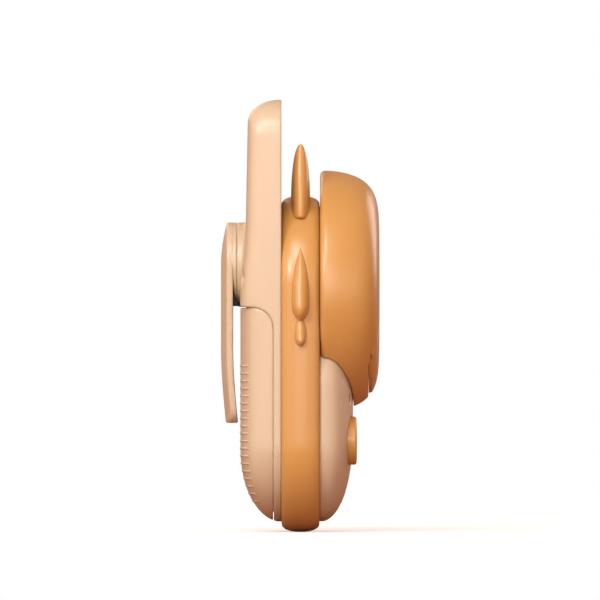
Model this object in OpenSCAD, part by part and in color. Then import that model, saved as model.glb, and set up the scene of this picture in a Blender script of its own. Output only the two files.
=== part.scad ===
// Toy walkie-talkie with an animal's head, built as an assembly of separate pieces.
// Frame: X is the width, -Y is the front with the face, +Z is up.
// The origin is under the middle of the trim band, level with the band's lowest point.

/* [Housing] */
// Width of the front and rear shells
body_w = 64; // [63:0.5:66]
// Height of the shells, without the aerial
body_h = 94.6; // [94:0.2:96]
// Radius of the shells' corners, seen from the front
corner_r = 24; // [22:1:26]
// Thickness of the shell walls
wall = 1.8; // [1.6:0.1:2]
// Depth of the rear shell behind the trim band
rear_depth = 12.3; // [12:0.1:12.6]
// Depth of the front shell's belly before the trim band
belly_depth = 10.05; // [9.9:0.05:10.2]

/* [Trim band] */
// Depth of the band, front to back
band_d = 11.4; // [11:0.1:12]
// How far the band stands out past the shells
band_proud = 3; // [2.6:0.1:3.4]

/* [Head] */
// Largest radius of the round head
head_r = 36.15; // [35.8:0.05:36.5]
// Depth of the head before the trim band
head_d = 18; // [17.6:0.1:18.4]
// Height of the head's centre
head_z = 72.15; // [71.5:0.05:73]

/* [Aerial] */
// Width of the aerial
aerial_w = 22; // [20:1:23]
// Height of the aerial's tip
aerial_top = 129.3; // [126:0.1:132]

/* [Buttons] */
// Radius of the talk and call buttons
button_r = 7.1; // [7:0.1:7.8]
// Distance of each button from the middle
button_x = 16.6; // [16:0.1:17]
// Height of both buttons
button_z = 27.3; // [26.5:0.1:28]
// How far a button goes in
button_travel = 0.8; // [0.4:0.1:0.8]

/* [Battery door] */
// Height of the door's top edge
door_top = 67.2; // [66:0.1:67.5]
// Distance of the door's side seam from the middle of the band
door_seam = 8.1; // [8:0.1:8.4]
// Number of grip ribs
rib_count = 19; // [10:1:19]
// Distance between grip ribs
rib_pitch = 2.24; // [2.1:0.02:2.3]

/* [Belt clip] */
// Radius of the clip's round base and of the boss under it
clip_r = 12.7; // [12:0.1:13]
// Height of the middle of the round base
clip_z = 80; // [79.5:0.1:80.5]
// Thickness of the clip's arm
clip_t = 3.6; // [3:0.1:3.6]

/* [Hidden] */
$fn = 72;

sand = [0.91, 0.80, 0.69];
amber = [0.88, 0.60, 0.34];
ink = [0.10, 0.08, 0.08];
steel = [0.75, 0.76, 0.78];

gap = 0.15;                          // between pieces that touch but are made apart
half_band = band_d / 2;
shell_z0 = band_proud;
shell_z1 = shell_z0 + body_h;
back_y = half_band + rear_depth;     // the door's plain back face
head_front = half_band + gap + head_d;
aerial_x = -body_w / 2 + aerial_w / 2;
boss_face = 19.05;                   // where the clip's base meets its boss
arm_inner = 20.25;
arm_outer = arm_inner + clip_t;
flex_y = arm_inner + clip_t / 2;     // the line about which the clip's arm flexes
flex_z = clip_z - 1;
bowl_z = 52;                         // middle of the muzzle's upper curve
speaker_z = 66;
board_y = [0.6, 2.2];
cell_r = 5.25;
cell_y = 9.95;
cell_z = [16.5, 61];
cell_pitch = 11.2;

// ---- points on curves ----
function smooth(t) = let (u = min(max(t, 0), 1)) u * u * (3 - 2 * u);
function signed_pow(v, e) = sign(v) * pow(abs(v), e);
// points of a rounded curve between two angles: exponent n is 2 for an ellipse, more for a boxier one
function bulge(cx, cy, a, b, n, from, to, steps) = [for (i = [0:steps])
    let (t = from + (to - from) * i / steps)
    [cx + a * signed_pow(cos(t), 2 / n), cy + b * signed_pow(sin(t), 2 / n)]];

// ---- placing ----
module along_y(y0, y1) translate([0, y1, 0]) rotate([90, 0, 0]) linear_extrude(y1 - y0) children();
module along_x(x0, x1) translate([x0, 0, 0]) rotate([90, 0, 90]) linear_extrude(x1 - x0) children();
module rod_y(x, z, r, y0, y1) translate([x, y1, z]) rotate([90, 0, 0]) cylinder(r = r, h = y1 - y0);
module box(low, high) translate(low) cube(high - low);
module wire(route, r) {
    for (i = [1:len(route) - 1]) {
        step = route[i] - route[i - 1];
        translate(route[i - 1]) rotate([0, acos(step.z / norm(step)), atan2(step.y, step.x)])
            cylinder(r = r, h = norm(step), $fn = 16);
    }
    for (i = [1:1:len(route) - 2]) translate(route[i]) sphere(r = r * 1.08, $fn = 16);
}

// ---- outlines seen from the front, in x and z ----
module body_outline(d = 0) {
    r = corner_r + d;
    flat = body_w / 2 - corner_r;
    translate([-flat, shell_z0 - d]) square([2 * flat, body_h + 2 * d]);
    translate([-flat - r, shell_z0 + corner_r]) square([2 * (flat + r), body_h - 2 * corner_r]);
    for (x = [-flat, flat], z = [shell_z0 + corner_r, shell_z1 - corner_r])
        translate([x, z]) circle(r);
}
module aerial_outline(d = 0) {
    r = aerial_w / 2;
    translate([aerial_x - r - d, 66]) square([2 * (r + d), aerial_top - r - 66]);
    translate([aerial_x, aerial_top - r]) circle(r + d);
}
module muzzle_outline(d = 0)
    polygon(concat(bulge(0, bowl_z, 24 + d, 14.4 + d, 2, 0, 180, 24), [[-24 - d, 30], [24 + d, 30]]));

// ---- profiles seen from the side, in y and z ----
function back_at(z) = z < 93 ? back_y - 1.65 * smooth((z - 68) / 25) : back_y - 1.65 - 0.6 * (z - 93) / 30;
module rear_profile(d = 0, open = 0) {
    foot = bulge(half_band, shell_z0 + 21.6, rear_depth + d, 21.6 + d, 2, -90, 0, 12);
    spine = [for (z = [68, 74, 80, 87, 93, 108, aerial_top - 6]) [back_at(z) + d, z]];
    tip = bulge(half_band, aerial_top - 6, back_at(aerial_top - 6) - half_band + d, 6 + d, 2, 10, 90, 8);
    polygon(concat([[half_band - open, shell_z0 - d]], foot, spine, tip,
        [[half_band - open, aerial_top + d]]));
}
module belly_profile(d = 0, open = 0) {
    depth = belly_depth + d;
    low = bulge(-half_band, 31, -depth, -28 - d, 2.2, 90, 0, 12);
    high = bulge(-half_band, 41, -depth, 17 + d, 2, 0, 90, 10);
    polygon(concat([[-half_band + open, shell_z0 - d]], low, high, [[-half_band + open, 58 + d]]));
}
module door_profile(d = 0) {
    r = 6.4;
    translate([door_seam + r, -8]) square([20, door_top + d + 8]);
    translate([door_seam - d, -8]) square([20, door_top - r + 8]);
    translate([door_seam + r, door_top - r]) circle(r + d);
}

// ---- plan profiles, in x and y ----
module rear_plan(d = 0, open = 0)
    polygon(concat(bulge(0, half_band, body_w / 2 + d, rear_depth + d, 6, 0, 180, 28),
        [[-body_w / 2 - d, half_band - open], [body_w / 2 + d, half_band - open]]));
module belly_plan(d = 0, open = 0)
    polygon(concat(bulge(0, -half_band, body_w / 2 + d, -belly_depth - d, 3, 0, 180, 24),
        [[-body_w / 2 - d, -half_band + open], [body_w / 2 + d, -half_band + open]]));

// ---- rear shell, battery door ----
module rear_block(d = 0, open = 0) intersection() {
    along_y(half_band - open, back_y + 3) {
        body_outline(d);
        aerial_outline(d);
    }
    along_x(-body_w / 2 - 2, body_w / 2 + 2) rear_profile(d, open);
    translate([0, 0, -2]) linear_extrude(aerial_top + 4) rear_plan(d, open);
}
upper_screws = [[-26, 76], [26, 76]];
lower_screws = [[-26.5, 44], [26.5, 44]];
clip_screw_x = [-6, 6];
module rear_shell() color(sand) difference() {
    union() {
        difference() {
            rear_block();
            rear_block(-wall, 1);
        }
        intersection() {
            rear_block();
            union() {
                along_x(-body_w / 2, body_w / 2) difference() {
                    door_profile(gap + 1.6);
                    translate([-20, -10]) square([120, 75]);
                }
                for (s = upper_screws) rod_y(s.x, s.y, 4.2, half_band, back_y);
                rod_y(0, clip_z, clip_r - 1, 14, back_y);
            }
        }
        rod_y(0, clip_z, clip_r, 15.4, boss_face);
    }
    along_x(-40, 40) door_profile(gap);
    along_x(-14, 14) clip_cutaway();
    for (s = upper_screws) {
        rod_y(s.x, s.y, 1.5, half_band - 1, 9);
        rod_y(s.x, s.y, 2.7, 7.5, back_y + 1);
    }
    for (x = clip_screw_x) {
        rod_y(x, clip_z + 3, 1.35, 10, boss_face + 1);
        rod_y(x, clip_z + 3, 2.5, 10, 16);
    }
}
module aerial_cover() color(sand) intersection() {
    along_y(half_band, half_band + 1.5) aerial_outline(-wall - 0.1);
    box([-40, 0, 98.5], [0, 20, 140]);
}
module battery_door() color(sand) {
    intersection() {
        difference() {
            rear_block();
            rear_block(-wall, 1);
        }
        along_x(-40, 40) door_profile(-gap);
    }
    intersection() {
        for (i = [0:rib_count - 1])
            box([-22, back_at(0) - 9, 49.3 - i * rib_pitch], [22, back_y + 2, 50.2 - i * rib_pitch]);
        difference() {
            rear_block(0.3);
            rear_block(-0.4);
        }
    }
}

// ---- trim band with ears and cheek tufts ----
module band_section(inner) {
    crown = bulge(0, corner_r + band_proud - 2.6, half_band, 2.6, 2.3, 0, 180, 16);
    polygon([for (p = concat([[half_band, inner]], crown, [[-half_band, inner]])) [p.y, p.x]]);
}
module band_corner(x, z, turn, inner)
    translate([x, 0, z]) rotate([90, 0, 0]) rotate([0, 0, turn])
        rotate_extrude(angle = 90) band_section(inner);
module band_solid(inner) {
    flat = body_w / 2 - corner_r;
    side = body_h - 2 * corner_r;
    low = shell_z0 + corner_r;
    band_corner(flat, low + side, 0, inner);
    band_corner(-flat, low + side, 90, inner);
    band_corner(-flat, low, 180, inner);
    band_corner(flat, low, 270, inner);
    for (turn = [0, 180]) {
        translate([0, 0, low + side / 2]) rotate([0, turn, 0]) translate([flat, 0, -side / 2])
            linear_extrude(side) band_section(inner);
        translate([0, 0, low + side / 2]) rotate([0, turn + 90, 0]) translate([side / 2, 0, -flat])
            linear_extrude(2 * flat) band_section(inner);
    }
}
module trim_band() color(amber) band_solid(corner_r - wall);
module ear(side) color(amber) difference() {
    scale_x = side;
    hull() {
        translate([scale_x * 23.5, 0, 114.2]) sphere(r = 1.3, $fn = 24);
        translate([scale_x * 22.6, 0, 106]) sphere(r = 2.5, $fn = 24);
        translate([scale_x * 24.8, 0, 93]) sphere(r = 3, $fn = 24);
        translate([scale_x * 12.5, 0, 97.5]) sphere(r = 2.8, $fn = 24);
    }
    band_solid(5);
}
module cheek_tufts(side) color(amber) difference() {
    union() {
        hull() {
            translate([side * 34.4, 0, 84]) sphere(r = 0.8, $fn = 24);
            translate([side * 35, 0, 69.5]) sphere(r = 2.9, $fn = 24);
            translate([side * 37.4, 0, 67.4]) sphere(r = 1.9, $fn = 24);
        }
        hull() {
            translate([side * 34.8, 0, 63.2]) sphere(r = 1.2, $fn = 24);
            translate([side * 35.2, 0, 58.2]) sphere(r = 2.1, $fn = 24);
        }
    }
    band_solid(5);
}

// ---- front shell ----
// seen from the front, the belly narrows towards its top, under the head
module belly_outline(d = 0) intersection() {
    body_outline(d);
    polygon(concat(bulge(0, 44, body_w / 2 + 0.05 + d, 22 + d, 2, 0, 180, 24),
        [[-body_w / 2 - 0.05 - d, -5], [body_w / 2 + 0.05 + d, -5]]));
}
module belly_block(d = 0, open = 0) intersection() {
    along_y(-half_band - belly_depth - 2, -half_band + open) belly_outline(d);
    along_x(-body_w / 2 - 2, body_w / 2 + 2) belly_profile(d, open);
    translate([0, 0, -2]) linear_extrude(70) belly_plan(d, open);
}
board_screw_spots = [[-13, 10.5], [13, 10.5], [-16, 86], [16, 86]];
head_screw_spots = [[-22, 63], [22, 63], [0, 93]];
lens_spot = [-20.3, 39.9];
module front_outer(d = 0) {
    belly_block(d);
    intersection() {
        along_y(-half_band - wall - d, -half_band + (d > 0 ? 1 : 0)) intersection() {
            body_outline(d);
            translate([0, head_z]) circle(head_r - 2.2 + d);
        }
        box([-40, -20, 52], [40, 5, 110]);
    }
}
module front_shell() color(sand) difference() {
    union() {
        difference() {
            front_outer();
            belly_block(-wall, 1);
        }
        intersection() {
            union() {
                for (s = lower_screws) rod_y(s.x, s.y, 3.2, -14, half_band);
                for (i = [0, 1]) rod_y(board_screw_spots[i].x, board_screw_spots[i].y, 2.6, -13.5, board_y[0]);
            }
            union() {
                belly_block();
                box([-32, -half_band, 4], [32, half_band, 60]);
            }
        }
        for (s = upper_screws) rod_y(s.x, s.y, 3.2, -half_band - 1, half_band);
        for (i = [2, 3]) rod_y(board_screw_spots[i].x, board_screw_spots[i].y, 2.6, -half_band - 1, board_y[0]);
        for (s = head_screw_spots) rod_y(s.x, s.y, 2.7, -half_band - 1, -4.5);
    }
    for (s = concat(upper_screws, lower_screws)) rod_y(s.x, s.y, 1.3, -5, half_band + 1);
    for (s = board_screw_spots) rod_y(s.x, s.y, 1.05, -4.6, board_y[0] + 1);
    for (s = head_screw_spots) rod_y(s.x, s.y, 1.3, -20, 0);
    for (x = [-button_x, button_x]) rod_y(x, button_z, button_r + 0.2, -20, -half_band);
    for (z = [12.8, 15.1, 17.4]) box([-6.5, -20, z - 0.4], [6.5, -half_band, z + 0.4]);
    rod_y(lens_spot.x, lens_spot.y, 1.2, -20, -half_band);
    rod_y(0, 82, 3.5, -20, 0);
}

// ---- head ----
// the head is turned about its own axis: depth is measured forwards from its back plane
function head_crown(r, depth, back) = [for (i = [0:20]) let (a = i * 4.5)
    [r * pow(cos(a), 2 / 5.6), back + (depth - back) * pow(sin(a), 2 / 2.5)]];
module head_turned(points)
    translate([0, -half_band - gap, head_z]) rotate([90, 0, 0]) rotate_extrude($fn = 96) polygon(points);
module head_solid()
    head_turned(concat([[0, 0], [head_r - 1.6, 0], [head_r - 0.5, 0.5]], head_crown(head_r, head_d, 1.8)));
module head_hollow()
    head_turned(concat([[0, -1], [head_r - 2, -1]], head_crown(head_r - 2, head_d - 2, 1.8)));
eye_spot = [12.5, 82.5];
peg_spots = [[-14, 54], [14, 54]];
module head_shell() color(amber) difference() {
    union() {
        difference() {
            head_solid();
            difference() {
                head_hollow();
                along_y(-30, -19.4) {
                    muzzle_outline(1.5);
                    translate([0, speaker_z]) circle(16.2);
                }
            }
        }
        intersection() {
            head_solid();
            union() {
                rod_y(0, speaker_z, 15.4, -20, -15.6);
                for (s = head_screw_spots) rod_y(s.x, s.y, 3, -22, -half_band);
            }
        }
    }
    rod_y(0, speaker_z, 14.2, -19.4, -10);
    rod_y(0, speaker_z, 11, -21, -19);
    along_y(-30, -20.9) muzzle_outline(gap);
    front_outer(gap);
    box([-10, -22, 47.5], [10, -19, 60.5]);
    box([-11.2, -22, 46.3], [11.2, -20.4, 61.7]);
    for (s = peg_spots) rod_y(s.x, s.y, 1.3, -22, -19);
    for (s = head_screw_spots) rod_y(s.x, s.y, 1.3, -17, 0);
    for (x = [-eye_spot.x, eye_spot.x]) rod_y(x, eye_spot.y, 3.5, -25, -20);
}
module head_back() color(amber) difference() {
    rod_y(0, head_z, head_r - 2.1, -half_band - gap - 1.5, -half_band - gap);
    along_y(-20, 5) body_outline(gap);
}
nose_z = 61;
module muzzle_plate() color(amber) {
    difference() {
        intersection() {
            head_solid();
            along_y(-30, -21.2) muzzle_outline();
        }
        for (row = [0:3], column = [-3 + row % 2 / 2:1:3 - row % 2 / 2])
            rod_y(column * 3, 47.5 + row * 2.8, 0.8, -30, -15);
        along_y(-30, -22.3) polygon(bulge(0, nose_z, 3.7, 2.5, 2.4, 0, 345, 23));
    }
    for (s = peg_spots) rod_y(s.x, s.y, 1.2, -21.2, -19.4);
}
module eye(side) color(ink) rod_y(side * eye_spot.x, eye_spot.y, 3.4, -23.75, -22);
module nose() color(ink) along_y(-head_front, -22.3) polygon(bulge(0, nose_z, 3.6, 2.4, 2.4, 0, 345, 23));
module grille_cloth() color(ink) box([-11, -20.85, 46.5], [11, -20.45, 61.5]);

// ---- loudspeaker ----
module speaker_gasket() color(ink) difference() {
    rod_y(0, speaker_z, 14, -19.4, -18.9);
    rod_y(0, speaker_z, 12.8, -20, -18);
}
module speaker_frame() color(steel) difference() {
    union() {
        rod_y(0, speaker_z, 14, -18.9, -17.9);
        rod_y(0, speaker_z, 11, -17.9, -14.9);
    }
    rod_y(0, speaker_z, 12.5, -19, -18.3);
    rod_y(0, speaker_z, 9.8, -19, -15.7);
}
module speaker_cone() color(ink) translate([0, -16.2, speaker_z]) rotate([90, 0, 0]) difference() {
    cylinder(r1 = 4, r2 = 9.6, h = 2);
    translate([0, 0, 0.4]) cylinder(r1 = 4, r2 = 9.6, h = 2);
}
module speaker_magnet() color(steel) rod_y(0, speaker_z, 7, -14.9, -11.2);
module speaker_wires() color("firebrick") for (x = [-1.2, 1.2])
    wire([[x, board_y[0], 88], [x, -3, 88], [x, -5, 83], [x, -10, 82], [x * 5, -13, 75], [x * 5, -14.88, 75]], 0.5);

// ---- buttons ----
module push_button(x) color(amber) {
    difference() {
        union() {
            rod_y(x, button_z, button_r, -16.95, -10);
            rod_y(x, button_z, button_r + 1.3, -10.9, -9.9);
        }
        rod_y(x, button_z, button_r - 1.4, -15.3, -9);
    }
    rod_y(x, button_z, 1.6, -15.4, -4.2);
}
module switch_stem(x) color(ink) rod_y(x, button_z, 1.7, -4.2, -1.8);
module push_switch(x) color(steel) difference() {
    box([x - 3, -2.9, button_z - 3], [x + 3, board_y[0], button_z + 3]);
    rod_y(x, button_z, 1.8, -3.5, -1.8 + button_travel + 0.1);
}
module indicator_lens() color([0.95, 0.95, 0.9]) rod_y(lens_spot.x, lens_spot.y, 1.1, -14.65, -1.5);
module indicator_led() color("white") box([lens_spot.x + 0.2, -1.4, lens_spot.y - 1.2], [lens_spot.x + 2.2, board_y[0], lens_spot.y + 1.2]);
module microphone() color(steel) {
    rod_y(0, 15.1, 3, -3, -0.4);
    for (x = [-1, 1]) rod_y(x, 15.1, 0.3, -0.4, board_y[0]);
}
module microphone_boot() color(ink) difference() {
    rod_y(0, 15.1, 4, -11.4, -0.4);
    rod_y(0, 15.1, 3.05, -3.05, 1);
    rod_y(0, 15.1, 1.5, -12, -2);
}

// ---- circuit board and aerial ----
module circuit_board() color("darkgreen") difference() {
    along_y(board_y[0], board_y[1]) intersection() {
        body_outline(-4);
        translate([-21, 0]) square([42, 120]);
    }
    for (s = board_screw_spots) rod_y(s.x, s.y, 1.2, 0, 3);
}
module radio_shield() color(steel) difference() {
    box([-9, -2.2, 66], [9, board_y[0], 80]);
    box([-8.6, -1.8, 66.4], [8.6, board_y[0] + 1, 79.6]);
}
module board_chips() color(ink) {
    box([-5, -1, 45], [5, board_y[0], 53]);
    box([-14, -0.8, 58], [-8, board_y[0], 62]);
    box([7, -0.8, 56], [14, board_y[0], 60]);
    box([10, board_y[1], 70], [15, board_y[1] + 1, 76]);
    for (i = [0:5]) box([-16 + i * 2.4, board_y[0] - 0.7, 40], [-14.6 + i * 2.4, board_y[0], 40.8]);
}
module small_screw(x, z, r, y0, y1, head_r, head_h) color(steel) difference() {
    union() {
        rod_y(x, z, r, y0, y1);
        rod_y(x, z, head_r, y1, y1 + head_h);
    }
    box([x - head_r * 0.7, y1 + head_h * 0.4, z - 0.25], [x + head_r * 0.7, y1 + head_h + 1, z + 0.25]);
    box([x - 0.25, y1 + head_h * 0.4, z - head_r * 0.7], [x + 0.25, y1 + head_h + 1, z + head_r * 0.7]);
}
module board_screws() for (s = board_screw_spots)
    small_screw(s.x, s.y, 1, -4, board_y[1], 1.9, 0.9);
core_y = 10.5;
module aerial_core() color("white") translate([aerial_x, core_y, 99.5]) cylinder(r = 2.2, h = 24);
coil_turns = 9;
coil_steps = 20;
module aerial_coil() color("peru") {
    total = coil_turns * coil_steps;
    ring = 6;
    wire_r = 0.45;
    pitch = 2.3;
    centre = [for (i = [0:total]) let (a = 360 * i / coil_steps)
        [aerial_x + 2.8 * cos(a), core_y + 2.8 * sin(a), 101 + pitch * i / coil_steps]];
    points = [for (i = [0:total], j = [0:ring - 1]) let (a = 360 * i / coil_steps, b = 360 * j / ring)
        centre[i] + wire_r * [cos(b) * cos(a), cos(b) * sin(a), sin(b)]];
    sides = [for (i = [0:total - 1], j = [0:ring - 1]) let (k = (j + 1) % ring)
        [i * ring + j, i * ring + k, (i + 1) * ring + k, (i + 1) * ring + j]];
    polyhedron(points, concat([[for (j = [ring - 1:-1:0]) j]], sides, [[for (j = [0:ring - 1]) total * ring + j]]));
}
module aerial_lead() color("peru")
    wire([[aerial_x + 2.8, core_y, 100.4], [aerial_x + 2.8, core_y, 97], [-17, 4.2, 89], [-17, board_y[1] + 0.02, 89]], 0.4);

// ---- batteries ----
module battery_tray() color(ink) difference() {
    union() {
        along_y(half_band, half_band + 1.5) intersection() {
            body_outline(-wall - 0.2);
            translate([-40, 0]) square([80, 65.2]);
        }
        intersection() {
            box([-18.6, 3.2, 13], [18.6, 12.5, 64.5]);
            along_x(-20, 20) rear_profile(-wall - 0.4, 4);
        }
    }
    box([-17.2, 4.6, 14.3], [17.2, 20, 63.2]);
    for (s = lower_screws) rod_y(s.x, s.y, 1.5, 0, 10);
}
module battery(x, up) color(ink) {
    body = cell_z[1] - cell_z[0] - 1;
    translate([x, cell_y, up ? cell_z[0] : cell_z[0] + 1]) cylinder(r = cell_r, h = body);
    translate([x, cell_y, up ? cell_z[1] - 1 : cell_z[0]]) cylinder(r = 1.9, h = 1);
}
module coil_spring(x, z0, height, r) {
    turns = 3;
    steps = 16;
    ring = 6;
    wire_r = 0.28;
    total = turns * steps;
    points = [for (i = [0:total], j = [0:ring - 1])
        let (a = 360 * i / steps, b = 360 * j / ring, rr = r * (1 - 0.3 * i / total))
        [x + (rr + wire_r * cos(b)) * cos(a), cell_y + (rr + wire_r * cos(b)) * sin(a),
            z0 + wire_r + (height - 2 * wire_r) * i / total + wire_r * sin(b)]];
    sides = [for (i = [0:total - 1], j = [0:ring - 1]) let (k = (j + 1) % ring)
        [i * ring + j, i * ring + k, (i + 1) * ring + k, (i + 1) * ring + j]];
    polyhedron(points, concat([[for (j = [ring - 1:-1:0]) j]], sides, [[for (j = [0:ring - 1]) total * ring + j]]));
}
module battery_springs() color(steel) {
    for (x = [-cell_pitch, cell_pitch]) coil_spring(x, 14.6, 1.85, 3.6);
    translate([0, 0, cell_z[0] + cell_z[1]]) mirror([0, 0, 1]) coil_spring(0, 14.6, 1.85, 3.6);
}
module battery_contacts() color(steel) {
    for (x = [-cell_pitch, 0, cell_pitch]) {
        box([x - 4.6, 5, 14.3], [x + 4.6, 12, 14.6]);
        box([x - 4.6, 5, 62.9], [x + 4.6, 12, 63.2]);
        z = x == 0 ? 14.5 : cell_z[1] + 0.05;
        box([x - 1.6, 8.3, z], [x + 1.6, 11.6, z + 1.95]);
    }
}
module battery_leads() color("firebrick") for (x = [-8, 8])
    wire([[x, 4.3, 64.52], [x, 4.3, 70], [x, board_y[1] + 0.02, 70]], 0.5);

// ---- belt clip ----
function arm_bow(z) = -1.5 * pow(max(54 - z, 0) / 21.5, 1.6);
function arm_crown(z) = -2.1 * pow(max(z - 81, 0) / 11.7, 2.6);
module clip_profile(z0, z1) {
    heights = [for (i = [0:12]) z0 + (z1 - z0) * i / 12];
    polygon(concat([for (z = heights) [arm_outer + arm_bow(z) + arm_crown(z), z]],
        [for (i = [12:-1:0]) [arm_inner + arm_bow(heights[i]), heights[i]]]));
}
module clip_outline() {
    translate([0, clip_z]) circle(clip_r);
    polygon([[-clip_r, clip_z], [-11.2, 36], [-8, 32.55], [8, 32.55], [11.2, 36], [clip_r, clip_z]]);
}
// the lower half of the boss and base falls away from the arm, and a soft wedge fills the space
module clip_cutaway() polygon([[arm_inner + 0.1, 80.5], [20, 76], [19.4, 72.5], [18.4, 69.3], [17.5, 67.4],
    [17.5, 60], [arm_inner + 0.1, 60]]);
module clip_wedge() color(ink) intersection() {
    along_x(-9, 9) difference() {
        clip_cutaway();
        polygon([[0, 0], [40, 0], [40, 67.5], [0, 67.5]]);
    }
    box([-20, 0, 0], [20, arm_inner - gap, 79]);
}
module clip_base() color(sand) difference() {
    intersection() {
        rod_y(0, clip_z, clip_r, boss_face, arm_outer + 1);
        along_x(-20, 20) difference() {
            union() {
                translate([0, 60]) square([arm_inner - gap, 40]);
                clip_profile(flex_z, clip_z + clip_r + 0.4);
                translate([15, flex_z]) square([arm_inner - 14.9, 20]);
            }
            clip_cutaway();
            polygon([[flex_y, flex_z - 1], [arm_outer + 1, flex_z - 1], [arm_outer + 1, flex_z + 1.1],
                [flex_y, flex_z]]);
        }
    }
    translate([-20, flex_y, flex_z]) rotate([0, 90, 0]) cylinder(r = clip_t / 2 + 0.08, h = 40);
    for (x = clip_screw_x) rod_y(x, clip_z + 3, 1.1, boss_face - 1, boss_face + 3.2);
}
module clip_arm() color(sand) intersection() {
    along_y(boss_face - 2, arm_outer + 1) clip_outline();
    union() {
        along_x(-20, 20) clip_profile(32.55, flex_z);
        translate([-20, flex_y, flex_z]) rotate([0, 90, 0]) cylinder(r = clip_t / 2, h = 40);
    }
}
module clip_screws() for (x = clip_screw_x) color(steel) {
    rod_y(x, clip_z + 3, 1.05, 16, boss_face + 3);
    rod_y(x, clip_z + 3, 2.2, 14.7, 16);
}
module housing_screws() {
    for (s = upper_screws) small_screw(s.x, s.y, 1.25, -4, 7.5, 2.4, 1.5);
    for (s = lower_screws) small_screw(s.x, s.y, 1.25, -4, half_band + 1.5, 2.4, 1.5);
}
module head_screws() for (s = head_screw_spots)
    small_screw(s.x, s.y, 1.25, -16, -4.5, 2.2, 1.4);

rear_shell();
aerial_cover();
trim_band();
ear(-1);  // ear_left
ear(1);  // ear_right
cheek_tufts(-1);  // cheek_tufts_left
cheek_tufts(1);  // cheek_tufts_right
front_shell();
head_shell();
head_back();
muzzle_plate();
eye(-1);  // eye_left
eye(1);  // eye_right
nose();
grille_cloth();
speaker_gasket();
speaker_frame();
speaker_cone();
speaker_magnet();
speaker_wires();
push_button(-button_x);  // talk_button
switch_stem(-button_x);  // talk_switch_stem
push_switch(-button_x);  // talk_switch
push_button(button_x);  // call_button
switch_stem(button_x);  // call_switch_stem
push_switch(button_x);  // call_switch
indicator_lens();
indicator_led();
microphone();
microphone_boot();
circuit_board();
radio_shield();
board_chips();
board_screws();
aerial_core();
aerial_coil();
aerial_lead();
battery_tray();
battery(-cell_pitch, true);  // battery_left
battery(0, false);  // battery_middle
battery(cell_pitch, true);  // battery_right
battery_springs();
battery_contacts();
battery_leads();
battery_door();
clip_base();
clip_wedge();
clip_arm();
clip_screws();
housing_screws();
head_screws();
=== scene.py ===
import math

import bmesh
import bpy
import numpy as np
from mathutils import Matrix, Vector


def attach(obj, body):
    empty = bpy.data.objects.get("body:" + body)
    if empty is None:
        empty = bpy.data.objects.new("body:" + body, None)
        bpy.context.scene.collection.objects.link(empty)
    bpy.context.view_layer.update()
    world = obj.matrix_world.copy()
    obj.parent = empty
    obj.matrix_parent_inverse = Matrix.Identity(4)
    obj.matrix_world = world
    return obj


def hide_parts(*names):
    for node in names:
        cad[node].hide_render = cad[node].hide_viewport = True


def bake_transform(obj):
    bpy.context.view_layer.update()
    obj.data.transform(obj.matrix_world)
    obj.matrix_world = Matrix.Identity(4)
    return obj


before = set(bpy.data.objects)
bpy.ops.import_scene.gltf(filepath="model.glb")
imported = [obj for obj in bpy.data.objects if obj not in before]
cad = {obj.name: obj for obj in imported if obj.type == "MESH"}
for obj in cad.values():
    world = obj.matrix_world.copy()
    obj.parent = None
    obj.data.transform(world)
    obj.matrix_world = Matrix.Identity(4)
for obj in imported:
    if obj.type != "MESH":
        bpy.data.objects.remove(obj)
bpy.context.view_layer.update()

scene = bpy.context.scene

# ---------------------------------------------------------------------------------------------
# The stage: a pale floor, a white room, a broad key light above the camera, and weaker lights at
# its side and round the toy. The camera is far off and square on to the toy's right side.
scene.view_settings.view_transform = "Standard"
scene.view_settings.look = "None"

eye = bpy.data.objects.new("camera", bpy.data.cameras.new("camera"))
eye.data.lens, eye.data.sensor_width = 1000, 36
eye.data.clip_end = 20
eye.location = (-5.0, 0.00015, 0.06945)
eye.rotation_euler = (math.pi / 2, 0, -math.pi / 2)
scene.collection.objects.link(eye)
scene.camera = eye

lit_point = Vector((0, 0, 0.065))

def lamp(name, towards, distance, size, power, tint=(1, 1, 1)):
    """A round soft light at a distance in metres, turned to the toy's middle."""
    light = bpy.data.lights.new(name, "AREA")
    light.shape, light.size, light.energy, light.color = "DISK", size, power, tint
    stand = bpy.data.objects.new(name, light)
    direction = Vector(towards).normalized()
    stand.location = direction * distance + lit_point
    stand.rotation_euler = direction.to_track_quat("Z", "Y").to_euler()
    scene.collection.objects.link(stand)

lamp("key", (-0.70, 0.14, 0.69), 0.9, 0.32, 2.3)
lamp("key_wide", (-0.74, 0.16, 0.65), 0.9, 0.60, 0.7)
lamp("camera_side", (-0.97, 0.0, 0.20), 0.9, 0.50, 2.0)
lamp("low_left", (-0.82, 0.52, 0.06), 0.9, 0.40, 0.5)
lamp("low_right", (-0.80, -0.55, 0.10), 0.9, 0.50, 0.7, (1.0, 0.86, 0.78))
lamp("left_spot", (-0.75, 0.47, 0.38), 0.9, 0.22, 2.6)
lamp("back_left", (-0.35, 0.90, 0.25), 1.0, 0.50, 1.5, (1.0, 0.80, 0.68))
lamp("front_fill", (-0.55, -0.80, 0.25), 1.0, 0.60, 0.4, (1.0, 0.70, 0.58))
lamp("far_fill", (0.75, 0.45, 0.45), 1.0, 0.60, 1.5, (1.0, 0.80, 0.70))
lamp("face_fill", (0.75, -0.68, 0.30), 1.0, 0.50, 1.7, (1.0, 0.92, 0.86))

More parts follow.
